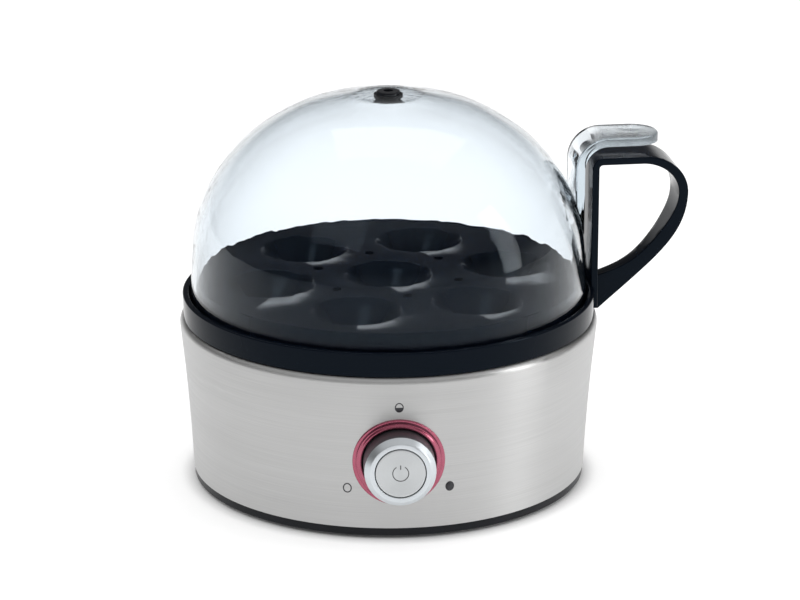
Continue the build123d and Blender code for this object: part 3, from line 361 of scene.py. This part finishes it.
def dish_steel():
    look = Look("dish_steel", (0.6, 0.6, 0.59), 0.25, {"Metallic": 1.0, "Anisotropic": 0.5})
    lines = look.rings((1, 1, 0), (0, 0, 0), dish_turning)
    look.colour(lines, dark=(0.54, 0.54, 0.53), light=(0.66, 0.66, 0.65))
    look.roughness(look.noise(50, detail=4.0), low=0.2, high=0.34)
    look.turned("Z")
    return look.material


def green_board():
    look = Look("green_board", (0.01, 0.13, 0.045), 0.35)
    tracks = look.nodes.new("ShaderNodeTexBrick")
    tracks.inputs["Color1"].default_value = (0.008, 0.12, 0.04, 1)
    tracks.inputs["Color2"].default_value = (0.012, 0.16, 0.055, 1)
    tracks.inputs["Mortar"].default_value = (0.004, 0.07, 0.022, 1)
    tracks.inputs["Scale"].default_value = 1.0
    look.links.new(look.place((board_cells,) * 3), tracks.inputs["Vector"])
    look.links.new(tracks.outputs["Color"], look.shader.inputs["Base Color"])
    look.roughness(look.noise(600), low=0.28, high=0.42)
    return look.material


def red_clear():
    """Red plastic with a bright metal backing, as a lit ring has."""
    sockets = {"Metallic": 0.85, "Coat Weight": 1.0, "Coat Roughness": 0.05}
    look = Look("red_clear", (0.42, 0.08, 0.14), 0.2, sockets)
    look.colour(look.noise(120), dark=(0.38, 0.065, 0.12), light=(0.46, 0.095, 0.16))
    look.roughness(look.noise(300), low=0.2, high=0.28)
    return look.material


def turned_silver(name, colour, low, high, barrel=None):
    """Satin silver with turning rings about the knob's axis, and perhaps a barrel darkened by
    painted shade that stands in for its dark reflections.
    """
    sockets = {"Metallic": 1.0, "Anisotropic": 0.35, "Anisotropic Rotation": 0.25}
    look = Look(name, colour, low, sockets)
    lines = look.rings((1, 0, 1), (0, 0, knob_z), knob_turning)
    silver = look.colour(lines, [channel * turning_shade for channel in colour], colour)
    look.roughness(lines, low, high)
    look.turned("Y")
    # painted shade: the barrel behind the chamfer takes a darker colour in place of the dark
    # reflections and shade on the knob's side
    if barrel:
        edge = (barrel_edge_y - barrel_edge_blur, barrel_edge_y + barrel_edge_blur)
        behind = look.ramp(look.split(look.place())["Y"], *edge, shape="LINEAR")
        painted_barrel_shade = look.mix(behind, silver, (*barrel, 1), "RGBA")
        look.feed(look.shader.inputs["Base Color"], painted_barrel_shade)
    return look.material


def lid_clear():
    """Clear plastic, slightly smoky with depth, that lets the lamps through to what is under it."""
    sockets = {
        "Transmission Weight": 1.0,
        "IOR": lid_index,
        "Specular Tint": (0.15, 0.17, 0.19, 1.0),
    }
    look = Look("lid_clear", (0.87, 0.90, 0.925), 0.0, sockets)
    polish = look.spread(look.noise(40), low=0.0, high=lid_polish)
    along = look.split(look.place())
    frost = look.ramp(along["X"], grip_frost_start, grip_frost_end, 0.0, grip_frost)
    look.feed(look.shader.inputs["Roughness"], look.calc("ADD", polish, frost))
    look.bump(look.noise((18, 18, 8), detail=1.0), strength=0.04, depth=0.1 * mm)
    output = look.nodes["Material Output"]
    depth = look.nodes.new("ShaderNodeVolumeAbsorption")
    depth.inputs["Color"].default_value = (*lid_smoke, 1)
    depth.inputs["Density"].default_value = lid_smoke_density
    look.links.new(depth.outputs["Volume"], output.inputs["Volume"])
    clear = look.nodes.new("ShaderNodeBsdfTransparent")
    clear.inputs["Color"].default_value = (*lid_shadow, 1)
    blend = look.nodes.new("ShaderNodeMixShader")
    look.links.new(look.light_path()["Is Shadow Ray"], blend.inputs["Fac"])
    look.links.new(look.shader.outputs["BSDF"], blend.inputs[1])
    look.links.new(clear.outputs["BSDF"], blend.inputs[2])
    look.links.new(blend.outputs["Shader"], output.inputs["Surface"])
    return look.material


def sign_ink():
    look = Look("sign_ink", (0.03, 0.03, 0.035), 0.45)
    look.colour(look.noise(900), dark=(0.022, 0.022, 0.027), light=(0.042, 0.042, 0.048))
    return look.material


looks = {
    "casing_steel": casing_steel(),
    "tray_black": gloss_black(),
    "black_pan": satin_black(),
    "black_rubber": black_rubber(),
    "white_rubber": plain_moulding(
        "white_rubber", (0.68, 0.68, 0.65), (0.76, 0.76, 0.73), low=0.5, high=0.62
    ),
    "red_rubber": plain_moulding(
        "red_rubber", (0.36, 0.02, 0.015), (0.46, 0.03, 0.02), low=0.4, high=0.55
    ),
    "dish_steel": dish_steel(),
    "screw_steel": plain_metal(
        "screw_steel", (0.5, 0.5, 0.5), (0.62, 0.62, 0.61), low=0.26, high=0.4, cells=900
    ),
    "spreader_aluminium": plain_metal(
        "spreader_aluminium", (0.68, 0.69, 0.7), (0.78, 0.79, 0.8), low=0.36, high=0.5, cells=300
    ),
    "brown_plastic": plain_moulding(
        "brown_plastic", (0.09, 0.035, 0.018), (0.13, 0.055, 0.028), low=0.4, high=0.52
    ),
    "blue_plastic": plain_moulding(
        "blue_plastic", (0.015, 0.1, 0.38), (0.025, 0.13, 0.46), low=0.35, high=0.48
    ),
    "white_plastic": plain_moulding(
        "white_plastic", (0.72, 0.72, 0.68), (0.8, 0.8, 0.76), low=0.35, high=0.48
    ),
    "green_board": green_board(),
    "red_clear": red_clear(),
    # the barrel's colour is painted shade, a darker silver for the knob's dark-reflecting, shaded
    # side
    "knob_silver": turned_silver(
        "knob_silver", (0.73, 0.77, 0.80), low=0.36, high=0.44, barrel=(0.19, 0.215, 0.225)
    ),
    "button_silver": turned_silver("button_silver", (0.64, 0.66, 0.67), low=0.40, high=0.48),
    "lid_clear": lid_clear(),
    "sign_ink": sign_ink(),
}


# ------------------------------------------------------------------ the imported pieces
def crisp(piece, angle=piece_corner):
    corners = piece.modifiers.new("corners", "EDGE_SPLIT")
    corners.split_angle = math.radians(angle)


def dress(node, slot):
    """Smooth shading with crisp corners, and the finish of the node's slot."""
    custom = node.data.attributes.get("custom_normal")
    if custom:
        node.data.attributes.remove(custom)
    node.data.shade_smooth()
    weld = node.modifiers.new("weld", "WELD")
    weld.merge_threshold = weld_reach
    crisp(node, node_corner)
    node.data.materials.clear()
    node.data.materials.append(looks[slot])


for subpart in frame["record"]["subparts"]:
    dress(frame["nodes"][subpart["node"]], subpart["material_slot"])


# ------------------------------------------------------------------ pieces shaped here
def make_piece(name, points, faces, body, slot, look=None):
    """A mesh piece in the row frame that rides on a body."""
    mesh = bpy.data.meshes.new(name)
    mesh.from_pydata(points, [], faces)
    work = bmesh.new()
    work.from_mesh(mesh)
    bmesh.ops.remove_doubles(work, verts=work.verts, dist=merge_reach)
    bmesh.ops.recalc_face_normals(work, faces=work.faces)
    work.to_mesh(mesh)
    work.free()
    mesh.shade_smooth()
    piece = bpy.data.objects.new(name, mesh)
    bpy.context.scene.collection.objects.link(piece)
    mesh.materials.append(looks[look or slot])
    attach(piece, body)
    return piece


def lathe(profile, lay):
    """Points and faces of a closed (radius, height) profile taken round; lay puts each in place."""
    points = []
    for radius, height in profile:
        for step in range(round_steps):
            turn = 2 * math.pi * step / round_steps
            points.append(lay(radius * math.cos(turn), radius * math.sin(turn), height))
    faces = []
    for row in range(len(profile)):
        below = row * round_steps
        above = (row + 1) % len(profile) * round_steps
        for step in range(round_steps):
            after = (step + 1) % round_steps
            faces.append((below + step, below + after, above + after, above + step))
    return points, faces


casing = frame["nodes"]["steel_casing"].data
casing_tree = BVHTree.FromPolygons(
    [vertex.co for vertex in casing.vertices],
    [list(polygon.vertices) for polygon in casing.polygons],
)


def on_casing(across, up, height):
    """A point on the casing's front, at a place across and up from the knob's axis."""
    z = knob_z + up
    hit = casing_tree.ray_cast(Vector((casing_outside, 0, z)), Vector((-1, 0, 0)))[0]
    return Vector((across, -math.sqrt(hit.x**2 - across**2) - height, z))


def on_button(across, up, height):
    """A point on the button's hollow face."""
    share = min(1.0, math.hypot(across, up) / (button_radius - button_edge))
    hollow = button_dish * (1 - share**2)
    return Vector((across, button_front + hollow - height, knob_z + up))


def make_light_ring():
    bore = ring_radius - ring_bore_gap
    core = ring_radius - ring_core_inset
    profile = [(ring_radius, -ring_sink)]
    profile += [(ring_radius - inset * mm, share * ring_crest) for inset, share in ring_section]
    profile += [(bore + outset * mm, share * ring_crest) for outset, share in ring_bore_section]
    profile += [(bore, -ring_crest), (bore, -ring_inside), (core, -ring_inside), (core, -ring_sink)]
    points, faces = lathe(profile, on_casing)
    ring = make_piece("light_ring_dome", points, faces, "base", "red_clear")
    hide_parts("light_ring")
    crisp(ring, ring_corner)


def make_button_face():
    inner = button_radius - button_skirt
    face = button_depth - button_skirt
    flat = button_radius - button_edge
    profile = [(button_hole, 0.0)]
    for step in range(1, button_face_steps + 1):
        profile.append((flat * step / button_face_steps, 0.0))
    for step in range(1, button_edge_steps + 1):
        lean = math.radians(90 * step / button_edge_steps)
        drop = -button_edge * (1 - math.cos(lean))
        profile.append((flat + button_edge * math.sin(lean), drop))
    profile += [(button_radius, -button_depth), (inner, -button_depth)]
    profile += [(inner, -face), (button_hole, -face)]
    points, faces = lathe(profile, on_button)
    face_piece = make_piece("button_face", points, faces, "button", "button_silver")
    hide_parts("button_cap")
    crisp(face_piece)


def sector(centre, wide, high, line=None, start=0, end=360, steps=sign_steps):
    """Cells of a band along an ellipse's edge, or of the full sector where line is None."""
    inner = (1 - line / (wide / 2), 1 - line / (high / 2)) if line else (0.0, 0.0)
    outer = (1.0, 1.0)
    cells = []
    for step in range(steps):
        corners = []
        for turn, share in ((0, outer), (1, outer), (1, inner), (0, inner)):
            angle = math.radians(start + (end - start) * (step + turn) / steps)
            across = centre[0] + wide / 2 * share[0] * math.cos(angle)
            corners.append((across, centre[1] + high / 2 * share[1] * math.sin(angle)))
        cells.append(corners)
    return cells


def half_fill(centre, wide, high):
    """Cells of an ellipse's lower half, in upright strips."""
    cells = []
    for step in range(sign_steps):
        left = math.radians(180 + 180 * step / sign_steps)
        right = math.radians(180 + 180 * (step + 1) / sign_steps)
        x0, x1 = (centre[0] + wide / 2 * math.cos(a) for a in (left, right))
        z0, z1 = (centre[1] + high / 2 * math.sin(a) for a in (left, right))
        cells.append([(x0, z0), (x1, z1), (x1, centre[1]), (x0, centre[1])])
    return cells


def print_sign(name, cells, lay, body, slot):
    """A thin printed sign made of four-cornered cells, laid on a surface."""
    points = []
    faces = []
    for cell in cells:
        first = len(points)
        points += [lay(across, up, print_stand / 2) for across, up in cell]
        faces.append(tuple(range(first, first + 4)))
    sign = make_piece(name, points, faces, body, slot, "sign_ink")
    ink = sign.modifiers.new("ink", "SOLIDIFY")
    ink.thickness = print_stand
    ink.offset = 0


def make_egg_marks():
    """An empty, a half-filled and a full egg for soft, medium and hard."""
    inner_wide = egg_mark_wide - egg_mark_line
    inner_high = egg_mark_high - egg_mark_line
    for name, angle in egg_marks.items():
        turn = math.radians(angle)
        centre = (egg_mark_pitch * math.cos(turn), egg_mark_pitch * math.sin(turn))
        cells = sector(centre, egg_mark_wide, egg_mark_high, egg_mark_line)
        if name == "mark_medium":
            cells += half_fill(centre, inner_wide, inner_high)
        if name == "mark_hard":
            cells = sector(centre, egg_mark_wide, egg_mark_high)
        print_sign(name, cells, on_casing, "base", "black_pan")


def make_power_mark():
    across = 2 * power_radius
    arc = (90 + power_gap, 450 - power_gap)
    cells = sector((0, 0), across, across, power_line, *arc, power_steps)
    half = power_line / 2
    top = power_radius + half
    cells.append([(-half, top - power_bar), (half, top - power_bar), (half, top), (-half, top)])
    print_sign("mark_power", cells, on_button, "button", "black_pan")


make_light_ring()
make_button_face()
make_egg_marks()
make_power_mark()


# ------------------------------------------------------------------ the studio
def make_floor():
    """Pale paper that glows for the camera, gloss and glass, but hardly under the object and at its
    foot, as painted shade.
    """
    work = bmesh.new()
    bmesh.ops.create_grid(
        work, x_segments=floor_cells, y_segments=floor_cells, size=floor_span / 2
    )
    mesh = bpy.data.meshes.new("floor")
    work.to_mesh(mesh)
    work.free()
    floor = bpy.data.objects.new("floor", mesh)
    bpy.context.scene.collection.objects.link(floor)
    look = Look("floor_paper", (floor_colour,) * 3, 0.9, {"Specular IOR Level": 0.0})
    path = look.light_path()
    reach = look.length(look.place((1, 1, 0)))
    # painted shade: the floor's glow falls away at the object's foot, darkening the floor where its
    # contact shadow lies
    glow_with_painted_shade = look.ramp(reach, glow_start, glow_end, painted_shade_glow, glow_far)
    along = look.split(look.place())["Y"]
    mirrored = look.ramp(along, glow_back_start, glow_back_end, glow_gloss, glow_gloss_back)
    glow = look.mix(path["Is Glossy Ray"], glow_with_painted_shade, mirrored)
    seen = look.calc("MAXIMUM", path["Is Camera Ray"], path["Is Glossy Ray"])
    seen = look.calc("MAXIMUM", seen, path["Is Transmission Ray"])
    look.shader.inputs["Emission Color"].default_value = (1, 1, 1, 1)
    look.feed(look.shader.inputs["Emission Strength"], look.calc("MULTIPLY", glow, seen))
    mesh.materials.append(look.material)


def make_world():
    """White where the camera sees it, a studio room in gloss, and an even light otherwise."""
    world = bpy.data.worlds.new("studio")
    bpy.context.scene.world = world
    world.use_nodes = True
    sky = Graph(world.node_tree)
    background = sky.nodes["Background"]
    background.inputs["Color"].default_value = (1, 1, 1, 1)
    path = sky.light_path()
    way = sky.split(sky.nodes.new("ShaderNodeTexCoord").outputs["Generated"])
    front = sky.ramp(way["Y"], sky_front_end, sky_back_start, sky_front, sky_back)
    flag = sky.ramp(way["X"], sky_flag_end, sky_flag_start, sky_flag, 1.0)
    ceiling = sky.ramp(way["Z"], sky_top_low, sky_top_high, sky_above, sky_top)
    rise = sky.ramp(way["Z"], sky_rise_low, sky_rise_high)
    room = sky.mix(rise, sky.calc("MULTIPLY", front, flag), ceiling)
    mirrored = sky.calc("GREATER_THAN", path["Glossy Depth"], 0.5)
    glow = sky.mix(mirrored, sky_glow, room)
    straight = sky.calc("MAXIMUM", path["Is Camera Ray"], path["Is Transmission Ray"])
    unmirrored = sky.calc("SUBTRACT", straight, mirrored, clamp=True)
    sky.feed(background.inputs["Strength"], sky.mix(unmirrored, glow, 1.0))


def lamp(name, place, wide, high, power, mirrored=True):
    """A soft lamp aimed at the object; gloss doesn't show it where mirrored is False."""
    light = bpy.data.lights.new(name, "AREA")
    light.shape = "RECTANGLE"
    light.size = wide
    light.size_y = high
    light.energy = power
    holder = bpy.data.objects.new(name, light)
    holder.visible_glossy = mirrored
    bpy.context.scene.collection.objects.link(holder)
    holder.location = place
    aim = Vector(lamp_target) - Vector(place)
    holder.rotation_mode = "QUATERNION"
    holder.rotation_quaternion = aim.to_track_quat("-Z", "Y")


def make_camera():
    turn = math.radians(camera_turn)
    rise = math.radians(camera_rise)
    level = math.cos(rise)
    back = Vector((math.sin(turn) * level, -math.cos(turn) * level, math.sin(rise)))
    right = Vector((math.cos(turn), math.sin(turn), 0))
    data = bpy.data.cameras.new("camera")
    data.lens = camera_lens
    data.sensor_width = camera_sensor
    data.clip_start = camera_near
    data.clip_end = camera_far
    camera = bpy.data.objects.new("camera", data)
    bpy.context.scene.collection.objects.link(camera)
    camera.location = Vector(camera_target) + back * camera_distance + right * camera_aside
    camera.rotation_mode = "QUATERNION"
    camera.rotation_quaternion = (-back).to_track_quat("-Z", "Y")
    bpy.context.scene.camera = camera


make_floor()
make_world()
lamp("softbox_left", place=(-0.75, -0.95, 1.25), wide=0.9, high=0.9, power=5.5, mirrored=False)
lamp("strip_right", place=(1.12, -0.36, 0.50), wide=0.28, high=0.9, power=3.6)
lamp("softbox_top", place=(0.1, 0.55, 1.5), wide=1.2, high=0.8, power=3.6)
make_camera()
bpy.context.scene.view_settings.view_transform = "Standard"
